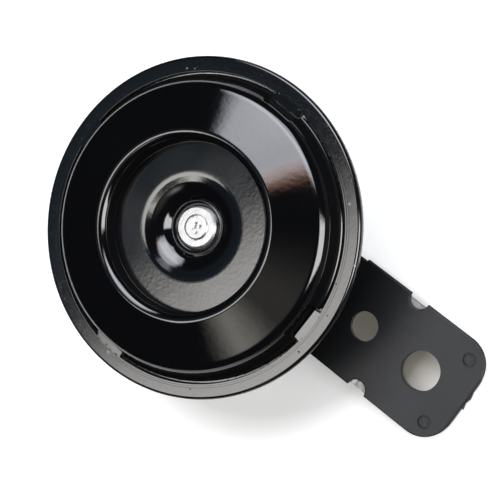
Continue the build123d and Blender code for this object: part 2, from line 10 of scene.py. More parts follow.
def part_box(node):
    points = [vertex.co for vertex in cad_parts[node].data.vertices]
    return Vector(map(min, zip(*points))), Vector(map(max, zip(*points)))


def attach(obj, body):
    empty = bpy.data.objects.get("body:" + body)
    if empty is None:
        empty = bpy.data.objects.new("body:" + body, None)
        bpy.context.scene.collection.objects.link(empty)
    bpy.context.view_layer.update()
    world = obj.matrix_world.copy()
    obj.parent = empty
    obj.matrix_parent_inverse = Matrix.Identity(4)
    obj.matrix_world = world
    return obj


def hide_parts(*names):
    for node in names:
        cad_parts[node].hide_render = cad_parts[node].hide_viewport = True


bl_info = {
    "name": "Disc horn dressing",
    "version": (1, 0, 0),
    "blender": (4, 5, 0),
    "location": "View3D > Sidebar > Horn",
    "description": "Dresses the packed disc horn: enamel, zinc, threads, rivet and studio",
    "category": "Object",
}

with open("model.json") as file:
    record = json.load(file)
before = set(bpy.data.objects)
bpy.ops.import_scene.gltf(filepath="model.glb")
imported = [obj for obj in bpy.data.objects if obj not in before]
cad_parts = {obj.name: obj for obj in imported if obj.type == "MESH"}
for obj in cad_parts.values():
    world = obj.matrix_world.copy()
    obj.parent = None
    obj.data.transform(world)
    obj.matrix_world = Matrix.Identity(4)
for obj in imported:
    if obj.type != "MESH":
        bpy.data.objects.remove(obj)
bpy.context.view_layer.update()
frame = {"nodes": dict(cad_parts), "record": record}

# ---- places read from the frame ----------------------------------------------------
MM = 0.001
RIM_LOW, RIM_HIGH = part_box("crimp_ring")
STUD_LOW, STUD_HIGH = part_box("pole_core")
WASHER_LOW, WASHER_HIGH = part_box("stem_washer")
LEAF_LOW, LEAF_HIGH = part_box("bracket_front_leaf")
AXIS_X = (RIM_LOW.x + RIM_HIGH.x) / 2
RIM_RADIUS = (RIM_HIGH.x - RIM_LOW.x) / 2
RIM_TOP = RIM_HIGH.z
STUD_RADIUS = 4.0 * MM

# ---- how finely the surfaces are stepped -------------------------------------------
SEEN_STEP = math.radians(6)         # along a bend of a face that shows
HIDDEN_STEP = math.radians(15)      # along a bend of a hidden face
WALK_STEPS = 4001                   # in a search along a line
SUPPORT_INSET = 0.04 * MM           # from a straight's ends to the points that keep it flat
SHORTEST_STRAIGHT = 0.2 * MM        # that gets such points
TABS = 4                            # bent in round the rim
TAB_STEPS = 25                      # across each of them
END_STEPS = 6                       # round the edge of a sheet
TAB_SIDE = 2e-5                     # angle over which a tab's side steps
POLE = 1e-6                         # radius at which a turned surface closes on its axis


# ---- sizes and colours that a user would change ------------------------------------
class HornSizes(bpy.types.PropertyGroup):
    rim_radius: bpy.props.FloatProperty(
        name="Rim radius", description="Outer radius of the crimped rim", default=RIM_RADIUS, unit="LENGTH")
    sheet: bpy.props.FloatProperty(
        name="Sheet", description="Thickness of the disc's and the rim's sheet", default=0.8 * MM,
        unit="LENGTH")
    lip_width: bpy.props.FloatProperty(
        name="Lip width", description="Rim's edge to its opening", default=3.3 * MM, unit="LENGTH")
    brim_gap: bpy.props.FloatProperty(
        name="Brim gap", description="Rim's opening to the disc's brim", default=0.42 * MM, unit="LENGTH")
    tab_width: bpy.props.FloatProperty(
        name="Tab width", description="Width of the four bent tabs", default=7.0 * MM, unit="LENGTH")
    tab_turn: bpy.props.FloatProperty(
        name="Tab turn", description="First tab, from the bracket's centreline",
        default=math.radians(-3.0), subtype="ANGLE")
    thread_pitch: bpy.props.FloatProperty(
        name="Thread pitch", description="Pitch of the stud's thread", default=1.25 * MM, unit="LENGTH")


class HornColours(bpy.types.PropertyGroup):
    enamel: bpy.props.FloatVectorProperty(
        name="Enamel", description="Black stove enamel of the horn's body",
        default=(0.0022, 0.0024, 0.003), subtype="COLOR", size=3)
    satin: bpy.props.FloatVectorProperty(
        name="Satin paint", description="Thin black paint of the bracket",
        default=(0.03, 0.032, 0.036), subtype="COLOR", size=3)
    zinc: bpy.props.FloatVectorProperty(
        name="Zinc", description="Bright zinc plating", default=(0.78, 0.79, 0.8), subtype="COLOR", size=3)


# ---- surfaces ----------------------------------------------------------------------
def arc_corner(before, corner, after, radius, step):
    """Round corner of a polyline: an arc of the radius, tangent to both of its sides."""
    arm_in = (before - corner) / np.linalg.norm(before - corner)
    arm_out = (after - corner) / np.linalg.norm(after - corner)
    half = 0.5 * math.acos(float(np.clip(arm_in @ arm_out, -1.0, 1.0)))
    setback = radius / math.tan(half)
    middle = (arm_in + arm_out) / np.linalg.norm(arm_in + arm_out)
    centre = corner + middle * radius / math.sin(half)
    first = corner + arm_in * setback - centre
    last = corner + arm_out * setback - centre
    steps = max(4, math.ceil((math.pi - 2 * half) / step))
    turn = np.linspace(0.0, math.pi - 2 * half, steps)[:, None]
    across = last - first * math.cos(math.pi - 2 * half)
    across = across / np.linalg.norm(across) * radius
    return centre + first * np.cos(turn) + across * np.sin(turn)


def rounded_line(points, bends, step=SEEN_STEP):
    """Polyline through the points with each inner corner rounded to its bend radius.

    Each straight has a point just inside both of its ends, which keeps its shading flat.
    """
    points = np.asarray(points, float)
    parts = [points[:1]]
    for index, bend in enumerate(bends, start=1):
        parts.append(arc_corner(points[index - 1], points[index], points[index + 1], bend, step))
    parts.append(points[-1:])
    line = [parts[0]]
    for part in parts[1:]:
        span = part[0] - line[-1][-1]
        length = np.linalg.norm(span)
        if length > SHORTEST_STRAIGHT:
            inset = span / length * SUPPORT_INSET
            line.append(np.array([line[-1][-1] + inset, part[0] - inset]))
        line.append(part)
    return np.concatenate(line)


def offset_line(points, gap):
    """The polyline moved to its left by the gap, corner by corner along the bisectors."""
    points = np.asarray(points, float)
    steps = np.diff(points, axis=0)
    steps /= np.linalg.norm(steps, axis=1)[:, None]
    normals = np.stack([-steps[:, 1], steps[:, 0]], axis=1)
    before = np.concatenate([normals[:1], normals])
    after = np.concatenate([normals, normals[-1:]])
    share = gap / (1 + np.sum(before * after, axis=1))
    return points + share[:, None] * (before + after)


def sheet_faces(points, bends, thickness):
    """Both faces of a bent sheet: the line through the points, and the one to its left."""
    points = np.asarray(points, float)
    steps = np.diff(points, axis=0)
    turns = steps[:-1, 0] * steps[1:, 1] - steps[:-1, 1] * steps[1:, 0] > 0
    near = [bend + thickness if left else bend for bend, left in zip(bends, turns)]
    far = [bend if left else bend + thickness for bend, left in zip(bends, turns)]
    return rounded_line(points, near), rounded_line(offset_line(points, thickness), far, HIDDEN_STEP)


def shares_of(line):
    """Share of the line's length at each of its own points."""
    length = np.concatenate([[0.0], np.cumsum(np.linalg.norm(np.diff(line, axis=0), axis=1))])
    return length / length[-1]


def along(line, shares):
    """Points of a line at shares of its length, by straight steps between its points."""
    own = shares_of(line)
    return np.stack([np.interp(shares, own, line[:, 0]), np.interp(shares, own, line[:, 1])], axis=-1)


def length_where(line, test):
    """Share of the line's length at the first point of a fine walk where the test holds."""
    shares = np.linspace(0.0, 1.0, WALK_STEPS)
    walked = along(line, shares)
    return shares[int(np.argmax(test(walked)))]


def grid_mesh(name, rows, closed_u=True, closed_v=True):
    """Mesh of a grid of points rows[u, v], closed round either way, as quads facing out."""
    count_u, count_v = rows.shape[:2]
    index = np.arange(count_u * count_v).reshape(count_u, count_v)
    next_u = np.roll(index, -1, axis=0)
    next_v = np.roll(index, -1, axis=1)
    corner = np.roll(next_u, -1, axis=1)
    quads = np.stack([index, next_v, corner, next_u], axis=-1)
    if not closed_u:
        quads = quads[:-1]
    if not closed_v:
        quads = quads[:, :-1]
    mesh = bpy.data.meshes.new(name)
    mesh.from_pydata(rows.reshape(-1, 3).tolist(), [], quads.reshape(-1, 4).tolist())
    mesh.update()
    return mesh


def finish_piece(name, mesh, body, material):
    """Object of a finished mesh: merged, facing out, smooth, painted and riding on its body."""
    merge_distance = 1e-7
    sharp_angle = math.radians(35)
    piece = bpy.data.objects.new(name, mesh)
    bpy.context.scene.collection.objects.link(piece)
    work = bmesh.new()
    work.from_mesh(mesh)
    bmesh.ops.remove_doubles(work, verts=work.verts, dist=merge_distance)
    bmesh.ops.recalc_face_normals(work, faces=work.faces)
    work.to_mesh(mesh)
    work.free()
    mesh.polygons.foreach_set("use_smooth", [True] * len(mesh.polygons))
    mesh.set_sharp_from_angle(angle=sharp_angle)
    mesh.materials.append(material)
    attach(piece, body)
    return piece


def turned_points(radius, height, angles):
    """Points at radius and height, carried round the horn's axis by the angles."""
    x = AXIS_X + radius * np.cos(angles)
    y = radius * np.sin(angles)
    return np.stack([x, y, np.broadcast_to(height, x.shape)], axis=-1)


def ring_angles(first_tab, half_width, count):
    """Angles round the ring, how far each is from its nearest tab, and which lie in one.

    The tabs are evenly spaced from the first. Each tab's side is a pair of angles a hair
    apart, so that it is a clean step, and count angles lie between the tabs.
    """
    gap = 2 * math.pi / TABS
    inner = np.linspace(-half_width, half_width, TAB_STEPS)
    outer = np.linspace(half_width + TAB_SIDE, gap - half_width - TAB_SIDE, count // TABS)
    middles = first_tab + np.arange(TABS) * gap
    angles = np.concatenate([middle + part for middle in middles for part in (inner, outer)])
    inside = np.tile(np.arange(len(inner) + len(outer)) < len(inner), TABS)
    offset = np.abs((angles - first_tab + gap / 2) % gap - gap / 2)
    return angles, offset, inside


# ---- node trees --------------------------------------------------------------------
class Nodes:
    """A node tree, with its links and commonest nodes made in one call each."""

    def __init__(self, tree):
        self.tree = tree

    def new(self, kind, **settings):
        """A node of this kind with these settings."""
        node = self.tree.nodes.new(kind)
        for name, value in settings.items():
            setattr(node, name, value)
        return node

    def feed(self, socket, value):
        """Link a socket to another one, or give it a plain value."""
        if isinstance(value, bpy.types.NodeSocket):
            self.tree.links.new(value, socket)
        else:
            socket.default_value = value

    def math(self, operation, first, second=0.0):
        """One math node of two values, each a socket or a number."""
        node = self.new("ShaderNodeMath", operation=operation)
        self.feed(node.inputs[0], first)
        self.feed(node.inputs[1], second)
        return node.outputs["Value"]

    def product(self, *values):
        """All the values multiplied together."""
        total = values[0]
        for value in values[1:]:
            total = self.math("MULTIPLY", total, value)
        return total

    def flipped(self, value):
        """1 where the value is 0, and 0 where it is 1."""
        return self.math("SUBTRACT", 1.0, value)

    def axes(self, vector):
        """The X, Y and Z outputs of a vector."""
        node = self.new("ShaderNodeSeparateXYZ")
        self.feed(node.inputs["Vector"], vector)
        return node.outputs


def dimmed(colour, share):
    """The colour at a share of its strength."""
    return [channel * share for channel in colour]


# ---- finishes ----------------------------------------------------------------------
NOISE_LOW, NOISE_HIGH = 0.3, 0.7    # between them lies most of a noise


class Finish(Nodes):
    """Node tree of one finish, built up in a few calls. Its places are about the axis."""

    def __init__(self, name, metallic=0.0, roughness=0.4, coat=0.0, coat_roughness=0.05, ior=1.5):
        self.material = bpy.data.materials.new(name)
        self.material.use_nodes = True
        super().__init__(self.material.node_tree)
        self.shader = self.tree.nodes["Principled BSDF"]
        self.shader.inputs["Metallic"].default_value = metallic
        self.shader.inputs["Roughness"].default_value = roughness
        self.shader.inputs["Coat Weight"].default_value = coat
        self.shader.inputs["Coat Roughness"].default_value = coat_roughness
        self.shader.inputs["IOR"].default_value = ior
        coords = self.new("ShaderNodeTexCoord")
        centre = self.new("ShaderNodeMapping")
        centre.inputs["Location"].default_value = (-AXIS_X, 0.0, 0.0)
        self.feed(centre.inputs["Vector"], coords.outputs["Object"])
        self.place = centre.outputs["Vector"]
        self.relief = None
        self.normals = ("Normal", "Coat Normal") if coat else ("Normal",)

    def noise(self, size, detail=3.0, roughness=0.5, stretch=(1.0, 1.0, 1.0), distortion=0.0):
        """Noise whose blotches are about this size, in metres."""
        scale = self.new("ShaderNodeMapping")
        scale.inputs["Scale"].default_value = [share / size for share in stretch]
        noise = self.new("ShaderNodeTexNoise")
        noise.inputs["Scale"].default_value = 1.0
        noise.inputs["Detail"].default_value = detail
        noise.inputs["Roughness"].default_value = roughness
        noise.inputs["Distortion"].default_value = distortion
        self.feed(scale.inputs["Vector"], self.place)
        self.feed(noise.inputs["Vector"], scale.outputs["Vector"])
        return noise.outputs["Fac"]

    def rescale(self, value, low, high, to_low=0.0, to_high=1.0):
        """Value mapped from one range to another, held at its ends."""
        node = self.new("ShaderNodeMapRange")
        node.inputs["From Min"].default_value = low
        node.inputs["From Max"].default_value = high
        node.inputs["To Min"].default_value = to_low
        node.inputs["To Max"].default_value = to_high
        self.feed(node.inputs["Value"], value)
        return node.outputs["Result"]

    def spread(self, noise, to_low=0.0, to_high=1.0):
        """A noise's usual values stretched over another range."""
        return self.rescale(noise, NOISE_LOW, NOISE_HIGH, to_low, to_high)

    def mix(self, share, first, second):
        """Colour mixed from two, each a socket or three numbers."""
        node = self.new("ShaderNodeMix", data_type="RGBA")
        self.feed(node.inputs["Factor"], share)
        self.feed_colour(node.inputs["A"], first)
        self.feed_colour(node.inputs["B"], second)
        return node.outputs["Result"]

    def away(self, x=0.0, y=0.0):
        """Distance, seen from the front, to a point given in millimetres from the axis."""
        flat = self.new("ShaderNodeVectorMath", operation="MULTIPLY")
        flat.inputs[1].default_value = (1.0, 1.0, 0.0)
        self.feed(flat.inputs[0], self.place)
        away = self.new("ShaderNodeVectorMath", operation="DISTANCE")
        away.inputs[1].default_value = (x * MM, y * MM, 0.0)
        self.feed(away.inputs[0], flat.outputs["Vector"])
        return away.outputs["Value"]

    def towards(self, right, up):
        """Distance from the axis along a direction seen from the front."""
        along_it = self.new("ShaderNodeVectorMath", operation="DOT_PRODUCT")
        along_it.inputs[1].default_value = front_to_frame((right, up, 0.0))
        self.feed(along_it.inputs[0], self.place)
        return along_it.outputs["Value"]

    def any_of(self, marks):
        """The greatest of several values."""
        total = marks[0]
        for mark in marks[1:]:
            total = self.math("MAXIMUM", total, mark)
        return total

    def spots(self, places):
        """1 at each (x, y, size) on the front, in millimetres from the axis, 0 past its size."""
        return self.any_of([
            self.rescale(self.away(x, y), 0.3 * size * MM, size * MM, 1.0, 0.0) for x, y, size in places])

    def rings(self, places, width):
        """1 on the ring (x, y, radius) of each place, in millimetres, 0 past half its width."""
        marks = []
        for x, y, radius in places:
            off = self.math("ABSOLUTE", self.math("SUBTRACT", self.away(x, y), radius * MM))
            marks.append(self.rescale(off, 0.25 * width * MM, 0.5 * width * MM, 1.0, 0.0))
        return self.any_of(marks)

    def feed_colour(self, socket, value):
        """Link a colour socket to another one, or give it three numbers."""
        self.feed(socket, value if isinstance(value, bpy.types.NodeSocket) else (*value, 1.0))

    def colour(self, value):
        """Set the finish's colour."""
        self.feed_colour(self.shader.inputs["Base Color"], value)

    def roughness(self, value):
        """Set the finish's roughness."""
        self.feed(self.shader.inputs["Roughness"], value)

    def bump(self, value, depth):
        """Add relief of this depth, in metres, to the finish and to its coat if it has one."""
        node = self.new("ShaderNodeBump")
        node.inputs["Strength"].default_value = 1.0
        node.inputs["Distance"].default_value = depth
        self.feed(node.inputs["Height"], value)
        if self.relief is not None:
            self.feed(node.inputs["Normal"], self.relief)
        self.relief = node.outputs["Normal"]
        for normal in self.normals:
            self.feed(self.shader.inputs[normal], self.relief)


def gloss_enamel(name, colour, roughness=0.06, peel=0.008 * MM, peel_size=1.1 * MM):
    """Stove enamel: deep black, mirror gloss, faint orange peel and a little dust."""
    finish = Finish(name, roughness=roughness, coat=1.0, coat_roughness=0.7 * roughness, ior=1.55)
    finish.bump(finish.noise(peel_size, detail=2.0), peel)
    finish.bump(finish.noise(11 * MM, detail=1.0), 0.05 * MM)
    broad = finish.noise(9 * MM, detail=2.0)
    dust_and_rim_shade = finish.noise(0.25 * MM, detail=2.0)
    finish.colour(finish.mix(finish.rescale(dust_and_rim_shade, 0.72, 0.8, 0.0, 0.12), colour, (0.25, 0.25, 0.24)))
    finish.roughness(finish.spread(broad, roughness * 0.8, roughness * 1.4))
    return finish.material


# Marks on the rim as (x, y, size), in millimetres from the axis with x along the bracket: light scuffs,
# which by the tab at y = -32 mm are partly wear and partly a painted highlight for the glints at the tab's
# corner.
SCUFFS_AND_GLINTS = (
    (-5.0, -31.2, 0.4), (-2.1, -31.5, 0.4), (-0.8, -32.3, 0.8), (0.7, -32.0, 0.6), (-21.0, 24.9, 0.25),
    (-19.5, 25.8, 0.2), (31.9, 13.5, 0.35), (24.0, 22.6, 0.4),
)
CHIPS = ((32.7, -6.9, 0.22), (31.0, 8.4, 0.18), (33.2, 2.4, 0.15), (18.5, -27.2, 0.18), (-33.0, 3.0, 0.15))
LIP_LINES = ((0.0, 0.0, 32.5),)         # rings on the rim's face, as (x, y, radius)
LIP_LINE_WIDTH = 0.3


def pitted_enamel(name, colour, roughness=0.1):
    """Thin enamel over a rolled edge: pitted, with a few chips and light, dull scuffs by a tab, partly wear
    and partly a painted highlight for glints at its corner.
    """
    finish = Finish(name, roughness=roughness, coat=1.0, coat_roughness=0.07, ior=1.55)
    pits = finish.noise(0.3 * MM, detail=3.0, roughness=0.6)
    mottle = finish.noise(1.4 * MM, detail=4.0, roughness=0.6)
    scratches = finish.noise(0.4 * MM, detail=3.0, stretch=(1.0, 0.08, 1.0), distortion=0.6)
    face = finish.rescale(finish.away(), 32.0 * MM, 32.3 * MM)
    pitted = finish.math("ADD", mottle, finish.rescale(pits, 0.62, 0.75, 0.7, 0.0))
    finish.bump(finish.product(pitted, face), 0.005 * MM)
    finish.bump(finish.flipped(finish.rings(LIP_LINES, LIP_LINE_WIDTH)), 0.004 * MM)
    finish.bump(finish.product(finish.rescale(scratches, 0.68, 0.74, 1.0, 0.0), face), 0.002 * MM)
    finish.bump(finish.flipped(finish.spots(CHIPS)), 0.06 * MM)
    # Light scuffs: partly wear, partly a painted highlight for the glints at a tab's corner.
    scuffs_and_glint = finish.product(finish.spots(SCUFFS_AND_GLINTS), finish.rescale(pits, 0.3, 0.6, 0.25, 1.0))
    wear_and_glint = finish.math("MAXIMUM", finish.rescale(pits, 0.68, 0.76, 0.0, 0.25), scuffs_and_glint)
    finish.colour(finish.mix(finish.product(wear_and_glint, face), colour, (0.34, 0.34, 0.36)))
    finish.roughness(finish.math("ADD", finish.spread(mottle, roughness * 0.8, roughness * 1.4), scuffs_and_glint))
    return finish.material


def starved_enamel(name, colour, roughness=0.7):
    """A shaded copy of the enamel, dark and dull: painted shade in the steep, deep places."""
    finish = Finish(name, roughness=roughness)
    grain = finish.noise(0.4 * MM, detail=3.0)
    finish.shader.inputs["Specular IOR Level"].default_value = 0.12
    finish.bump(grain, 0.004 * MM)
    finish.colour(finish.mix(finish.spread(grain), dimmed(colour, 0.6), colour))
    return finish.material


# Rings of painted shade round the bracket's two half-sheared pips, where their recesses would be shaded, as
# (x, y, radius) in millimetres.
PIP_SHADE_RINGS = ((56.5, 8.1, 1.3), (56.5, -8.1, 1.3))
PIP_SHADE_WIDTH = 0.6


def thin_paint(name, colour, roughness=0.42):
    """Thin satin paint on flat steel, with its grain and small nibs, and painted shade under the rim."""
    finish = Finish(name, roughness=roughness)
    grain = finish.noise(0.5 * MM, detail=4.0, roughness=0.6)
    broad = finish.noise(12 * MM, detail=3.0)
    nibs = finish.noise(0.3 * MM, detail=2.0)
    finish.bump(grain, 0.014 * MM)
    # Painted shade: towards the rim, where the horn shades the bracket, the paint is darker and its sheen
    # weaker.
    dust_and_rim_shade = finish.rescale(finish.axes(finish.place)["X"], 29 * MM, 47 * MM)
    rim_shade_and_tone = finish.product(dust_and_rim_shade, finish.spread(broad, 0.75, 1.0))
    shade = finish.mix(rim_shade_and_tone, dimmed(colour, 0.2), colour)
    # Painted shade in the pips' recesses.
    shade = finish.mix(finish.rings(PIP_SHADE_RINGS, PIP_SHADE_WIDTH), shade, dimmed(colour, 0.25))
    finish.colour(finish.mix(finish.rescale(nibs, 0.7, 0.78, 0.0, 0.5), shade, (0.16, 0.16, 0.16)))
    finish.feed(finish.shader.inputs["Specular IOR Level"], finish.rescale(dust_and_rim_shade, 0.0, 1.0, 0.15, 0.44))
    finish.roughness(finish.spread(grain, roughness * 0.85, roughness * 1.2))
    return finish.material


def plated(name, colour, roughness=0.24, cloud=0.12, marking=0.0015):
    """Plated steel: bright, slightly cloudy, with fine handling marks."""
    finish = Finish(name, metallic=1.0, roughness=roughness)
    clouds = finish.noise(2.5 * MM, detail=4.0, roughness=0.6)
    marks = finish.noise(0.4 * MM, detail=3.0, stretch=(1.0, 0.2, 1.0))
    finish.colour(finish.mix(finish.spread(clouds), dimmed(colour, 1 - 3 * cloud), colour))
    finish.roughness(finish.spread(marks, roughness * 0.7, roughness * 1.4))
    finish.bump(marks, marking * MM)
    return finish.material


def moulded(name, colour, roughness=0.45):
    """Moulded plastic or board with a fine grain."""
    finish = Finish(name, roughness=roughness)
    grain = finish.noise(0.2 * MM, detail=2.0)
    broad = finish.noise(4 * MM, detail=3.0)
    finish.bump(grain, 0.005 * MM)
    lighter = [min(1.0, channel * 1.25 + 0.004) for channel in colour]
    finish.colour(finish.mix(finish.spread(broad), colour, lighter))
    finish.roughness(finish.spread(grain, roughness * 0.9, roughness * 1.15))
    return finish.material


def wound(name, colour):
    """Enamelled wire laid in turns: fine ridges round the bobbin, with painted shade in the grooves between
    the turns.
    """
    wire = 0.4 * MM
    finish = Finish(name, metallic=1.0, roughness=0.3)
    wave = finish.new("ShaderNodeTexWave", bands_direction="Z")
    wave.inputs["Scale"].default_value = 1 / (20 * wire)
    finish.feed(wave.inputs["Vector"], finish.place)
    finish.bump(wave.outputs["Fac"], 0.1 * MM)
    # Painted shade: darker down in the grooves between the turns.
    finish.colour(finish.mix(wave.outputs["Fac"], dimmed(colour, 0.4), colour))
    return finish.material


def colours():
    """The colours as the user has set them."""
    return bpy.context.scene.horn_colours


def sizes():
    """The sizes as the user has set them."""
    return bpy.context.scene.horn_sizes


MATERIALS = {}      # those made so far, by their slot


def material(slot):
    """The finish of a material slot, made once."""
    if slot not in MATERIALS:
        shades = colours()
        makers = {
            "gloss_black_paint": lambda n: gloss_enamel(n, shades.enamel),
            "rim_black_paint": lambda n: pitted_enamel(n, shades.enamel),
            "dish_enamel": lambda n: gloss_enamel(n, shades.enamel, 0.17, 0.012 * MM, 0.8 * MM),
            # shaded copy of the enamel, as painted shade
            "starved_enamel": lambda n: starved_enamel(n, shades.enamel),
            "satin_black_paint": lambda n: thin_paint(n, shades.satin),
            "zinc_plate": lambda n: plated(n, shades.zinc),
            "peened_zinc": lambda n: plated(n, (0.86, 0.86, 0.86), 0.34, cloud=0.03, marking=0.0008),
            "dull_zinc": lambda n: plated(n, (0.5, 0.5, 0.49), roughness=0.5, cloud=0.08),
            "spring_steel": lambda n: plated(n, (0.5, 0.51, 0.52), roughness=0.3),
            "core_iron": lambda n: plated(n, (0.55, 0.55, 0.54), roughness=0.35),
            "gasket_paper": lambda n: moulded(n, (0.012, 0.011, 0.01), roughness=0.9),
            "winding_copper": lambda n: wound(n, (0.75, 0.3, 0.12)),
            "bobbin_nylon": lambda n: moulded(n, (0.75, 0.72, 0.62), roughness=0.5),
            "insulator_board": lambda n: moulded(n, (0.22, 0.08, 0.035), roughness=0.55),
            "contact_silver": lambda n: plated(n, (0.9, 0.89, 0.86), roughness=0.18),
            "brass": lambda n: plated(n, (0.78, 0.57, 0.26), roughness=0.28),
            "terminal_plastic": lambda n: moulded(n, (0.016, 0.016, 0.017)),
            "lead_sleeve": lambda n: moulded(n, (0.35, 0.02, 0.015), roughness=0.5),
        }
        MATERIALS[slot] = makers[slot](slot)
    return MATERIALS[slot]


# ---- the horn's pieces -------------------------------------------------------------
class HORN_OT_paint_cad(bpy.types.Operator):
    """Give every carried-over CAD node its finish"""
    bl_idname = "horn.paint_cad"
    bl_label = "Paint the CAD pieces"

    def execute(self, context):
        for part in frame["record"]["subparts"]:
            node = frame["nodes"][part["node"]]
            finish = "dull_zinc" if part["node"] == "bracket_rear_leaf" else part["material_slot"]
            for holder in node.material_slots:
                holder.link = "OBJECT"
                holder.material = material(finish)
        return {"FINISHED"}


GLOSS, SHADED_COPY, DISH = range(3)     # the disc's material indices


def disc_finishes(mesh, brim):
    """Which of the disc's three finishes each face has, by its place in the section.

    The deep inner wall and the skirt's foot, whose edge stays glossy except on the shaded side,
    get a shaded copy of the enamel as painted shade, and the dish's floor has a rougher gloss.
    Radii and heights above the rim are in millimetres here, and the shaded side is a span of degrees.
    """
    wall_from, wall_to, wall_top, flattest = 16.2, 17.6, 5.92, 0.93
    dish_from, dish_to, floor_top = 11.0, 17.4, 2.7
    skirt_from, skirt_top, glossy_edge = 27.5, 2.7, 0.35
    shade_from, shade_to, past_edge = -115.0, -25.0, 1.0
    centres = np.empty(3 * len(mesh.polygons), np.float32)
    normals = np.empty_like(centres)
    mesh.polygons.foreach_get("center", centres)
    mesh.polygons.foreach_get("normal", normals)
    x, y, z = centres.astype(float).reshape(-1, 3).T
    reach = np.hypot(x - AXIS_X, y) / MM
    rise = (z - RIM_TOP) / MM
    turn = np.degrees(np.arctan2(y, x - AXIS_X))
    steep = np.abs(normals.reshape(-1, 3)[:, 2]) < flattest
    wall = (reach > wall_from) & (reach < wall_to) & (rise < wall_top) & steep
    shaded = (turn > shade_from) & (turn < shade_to)
    edge = brim / MM + np.where(shaded, past_edge, -glossy_edge)
    skirt = (rise < skirt_top) & (reach > skirt_from) & (reach < edge)
    dish = (reach > dish_from) & (reach < dish_to) & (rise < floor_top)
    return np.where(wall | skirt, SHADED_COPY, np.where(dish, DISH, GLOSS))


class HORN_OT_tone_disc(bpy.types.Operator):
    """Pressed front disc: its profile turned about the axis, pushed in under the four tabs

    Under a tab the skirt's foot is moved in by dent * sqrt(1 - (t / half)^6), where t is the
    angle from the tab's middle, and the shift fades out up the skirt. The brim slopes down
    outwards and ends in part of a circle. The foot is lifted a little in the dents, so that
    it stays clear of the diaphragm at the lower end of the stroke.
    """
    bl_idname = "horn.tone_disc"
    bl_label = "Tone disc"

    def execute(self, context):
        size = sizes()
        brim = size.rim_radius - size.lip_width - size.brim_gap
        crown = brim - 4.0 * MM
        top = RIM_TOP
        between_tabs = 304
        crown_rows_front, crown_rows_back = 48, 20
        dent, dent_margin, dent_power = 1.38 * MM, 0.45 * MM, 6
        dent_top, dent_fade = 3.6 * MM, 3.2 * MM
        foot_radius, foot_height, foot_lift = brim - 1.0 * MM, 0.9 * MM, 0.05 * MM
        surface = [
            (brim - 0.17 * MM, top - 0.14 * MM),
            (brim - 0.78 * MM, top + 0.18 * MM),
            (brim - 2.1 * MM, top + 4.3 * MM),
            (18.3 * MM, top + 7.25 * MM),
            (17.35 * MM, top + 5.95 * MM),
            (17.3 * MM, top + 2.45 * MM),
            (10.9 * MM, top + 2.6 * MM),
            (8.3 * MM, top + 2.1 * MM),
            (6.4 * MM, top + 1.13 * MM),
            (5.3 * MM, top + 0.15 * MM),
            (5.0 * MM, top - 0.95 * MM),
            (2.25 * MM, top - 0.95 * MM),
        ]
        bends = [bend * MM for bend in (0.8, 2.2, 1.0, 0.1, 0.12, 5.0, 5.0, 3.0, 0.6, 0.35)]
        half_angle = math.asin((size.tab_width / 2 + dent_margin) / foot_radius)
        angles, offset, _ = ring_angles(size.tab_turn, half_angle, between_tabs)
        arch = np.sqrt(np.clip(1 - (offset / half_angle) ** dent_power, 0.0, 1.0))
        rows = []
        faces = sheet_faces(surface, bends, size.sheet)
        for line, crown_rows in zip(faces, (crown_rows_front, crown_rows_back)):
            own = shares_of(line)
            crown_end = length_where(line, lambda p: p[:, 0] < crown)
            shares = np.concatenate([np.linspace(0.0, crown_end, crown_rows), own[own > crown_end]])
            points = along(line, shares)
            if not rows:
                points = np.concatenate([self.round_end(surface[0]), points])
            rise = points[:, 1] - top
            in_skirt = points[:, 0] > crown
            low = np.where(in_skirt, np.clip((dent_top - rise) / dent_fade, 0.0, 1.0), 0.0)
            foot = np.where(in_skirt, np.clip((foot_height - rise) / foot_height, 0.0, 1.0), 0.0)
            radius = points[:, :1] - dent * low[:, None] * arch[None, :]
            height = points[:, 1:] + foot_lift * foot[:, None] * arch[None, :]
            rows.append(np.stack([radius, height], axis=-1))
        loop = np.concatenate([rows[0], rows[1][::-1]])
        mesh = grid_mesh("tone_disc_shell", turned_points(loop[..., 0], loop[..., 1], angles[None, :]))
        piece = finish_piece(
            "tone_disc_shell", mesh, "resonator", material("gloss_black_paint"))
        # A shaded copy of the enamel: painted shade on the deep inner wall and the skirt's foot.
        mesh.materials.append(material("starved_enamel"))
        mesh.materials.append(material("dish_enamel"))
        mesh.polygons.foreach_set("material_index", disc_finishes(mesh, brim))
        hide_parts("tone_disc")
        return {"FINISHED"}

    def round_end(self, end):
        """Part of a circle that rounds the brim's end, down from where its slope stops."""
        corner = 0.35 * MM
        slope = math.radians(28)
        turn = np.linspace(math.pi / 2, slope, END_STEPS)[:-1, None]
        return end + corner * np.concatenate(
            [np.sin(turn) - math.sin(slope), np.cos(turn) - math.cos(slope)], axis=1)


